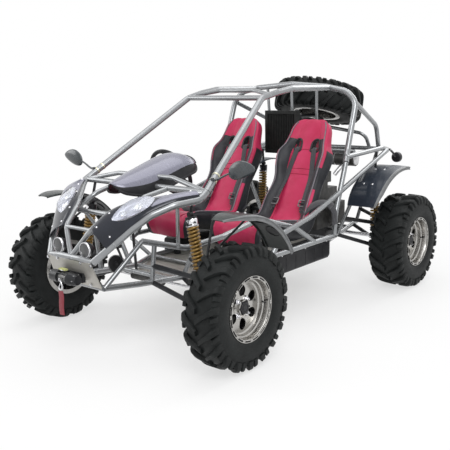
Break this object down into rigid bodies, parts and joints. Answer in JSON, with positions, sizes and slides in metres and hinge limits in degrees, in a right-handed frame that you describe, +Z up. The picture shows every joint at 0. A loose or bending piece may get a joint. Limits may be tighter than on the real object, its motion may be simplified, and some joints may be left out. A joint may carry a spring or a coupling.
{
  "type": "dune buggy",
  "caption": "Open tube-frame two-seat dune buggy with rolling and steered wheels, bucket seats, rear engine, roof-mounted spare and front winch.",
  "frame": {"origin": "on the ground, in the middle of the overall length and width", "axes": "+X to the vehicle's left, -Y to its front, +Z up"},
  "size_m": [1.642, 2.769, 1.446],
  "materials": {
    "belt_webbing": "woven",
    "black_plastic": "satin",
    "black_steel": "satin",
    "bright_steel": "brushed",
    "cowl_silver": "gloss",
    "dark_gloss": "gloss",
    "dark_plastic": "satin",
    "engine_metal": "cast",
    "lamp_glass": "clear",
    "plate_grey": "satin",
    "polished_alloy": "polished",
    "seat_leather": "grained",
    "silver_tube": "metallic satin",
    "spring_gold": "satin",
    "strap_red": "woven",
    "tail_red": "gloss",
    "tyre_rubber": "matt"
  },
  "bodies": {
    "chassis": {"axle_box": "black_steel", "cage_struts": "silver_tube", "cowl": "cowl_silver", "driving_lamps": "black_plastic", "engine": "engine_metal", "floor_pan": "plate_grey", "front_arms": "black_steel", "half_shafts": "bright_steel", "harness_left": "belt_webbing", "harness_right": "belt_webbing", "headlamp_housings": "dark_gloss", "headlamp_lenses": "lamp_glass", "hood_frame": "silver_tube", "lower_frame": "silver_tube", "mirrors": "dark_plastic", "muffler": "engine_metal", "nose_frame": "silver_tube", "radiator": "engine_metal", "rear_arms": "black_steel", "rear_fenders": "dark_plastic", "rear_frame": "silver_tube", "rear_hubs": "black_steel", "rim_spare": "polished_alloy", "roof_cage": "silver_tube", "seat_left": "seat_leather", "seat_mounts": "black_steel", "seat_right": "seat_leather", "shock_absorbers": "bright_steel", "shock_mounts": "black_steel", "shock_springs": "spring_gold", "side_boxes": "dark_plastic", "side_frame": "silver_tube", "sill_frame": "silver_tube", "skid_plate": "plate_grey", "spare_carrier": "black_steel", "steering_column": "black_steel", "steering_rack": "engine_metal", "tail_lamps": "tail_red", "tow_plate": "black_steel", "tyre_spare": "tyre_rubber", "winch": "black_plastic", "winch_hook": "bright_steel", "winch_strap": "strap_red"},
    "knuckle_left": {"knuckle_left": "black_steel", "front_fender_left": "dark_plastic"},
    "knuckle_right": {"knuckle_right": "black_steel", "front_fender_right": "dark_plastic"},
    "steering_link": {"tie_rods": "bright_steel"},
    "steering_wheel": {"steering_wheel": "black_plastic"},
    "wheel_front_left": {"rim_front_left": "polished_alloy", "tyre_front_left": "tyre_rubber"},
    "wheel_front_right": {"rim_front_right": "polished_alloy", "tyre_front_right": "tyre_rubber"},
    "wheel_rear_left": {"rim_rear_left": "polished_alloy", "tyre_rear_left": "tyre_rubber"},
    "wheel_rear_right": {"rim_rear_right": "polished_alloy", "tyre_rear_right": "tyre_rubber"}
  },
  "joints": [
    {"name": "steer_left", "type": "hinge", "parent": "chassis", "child": "knuckle_left", "pos_m": [0.612, -0.8525, 0.3175], "axis": [0, 0, 1], "range_deg": [-28, 28]},
    {"name": "steer_right", "type": "hinge", "parent": "chassis", "child": "knuckle_right", "pos_m": [-0.612, -0.8525, 0.3175], "axis": [0, 0, 1], "range_deg": [-28, 28]},
    {"name": "rack_slide", "type": "slide", "parent": "chassis", "child": "steering_link", "axis": [1, 0, 0], "range_m": [-0.037, 0.037]},
    {"name": "steering_turn", "type": "hinge", "parent": "chassis", "child": "steering_wheel", "pos_m": [-0.28, -0.2772, 0.8554], "axis": [0, 0.9063, 0.4226], "range_deg": [-252, 252]},
    {"name": "wheel_spin_front_left", "type": "hinge", "parent": "knuckle_left", "child": "wheel_front_left", "pos_m": [0.7, -0.8525, 0.3175], "axis": [1, 0, 0], "continuous": true},
    {"name": "wheel_spin_front_right", "type": "hinge", "parent": "knuckle_right", "child": "wheel_front_right", "pos_m": [-0.7, -0.8525, 0.3175], "axis": [1, 0, 0], "continuous": true},
    {"name": "wheel_spin_rear_left", "type": "hinge", "parent": "chassis", "child": "wheel_rear_left", "pos_m": [0.7, 0.9975, 0.3175], "axis": [1, 0, 0], "continuous": true},
    {"name": "wheel_spin_rear_right", "type": "hinge", "parent": "chassis", "child": "wheel_rear_right", "pos_m": [-0.7, 0.9975, 0.3175], "axis": [1, 0, 0], "continuous": true}
  ],
  "couplings": [
    {"joint": "steer_right", "follows": "steer_left", "ratio": 1},
    {"joint": "rack_slide", "follows": "steer_left", "m_per_rad": -0.075},
    {"joint": "steering_turn", "follows": "steer_left", "ratio": 9}
  ]
}
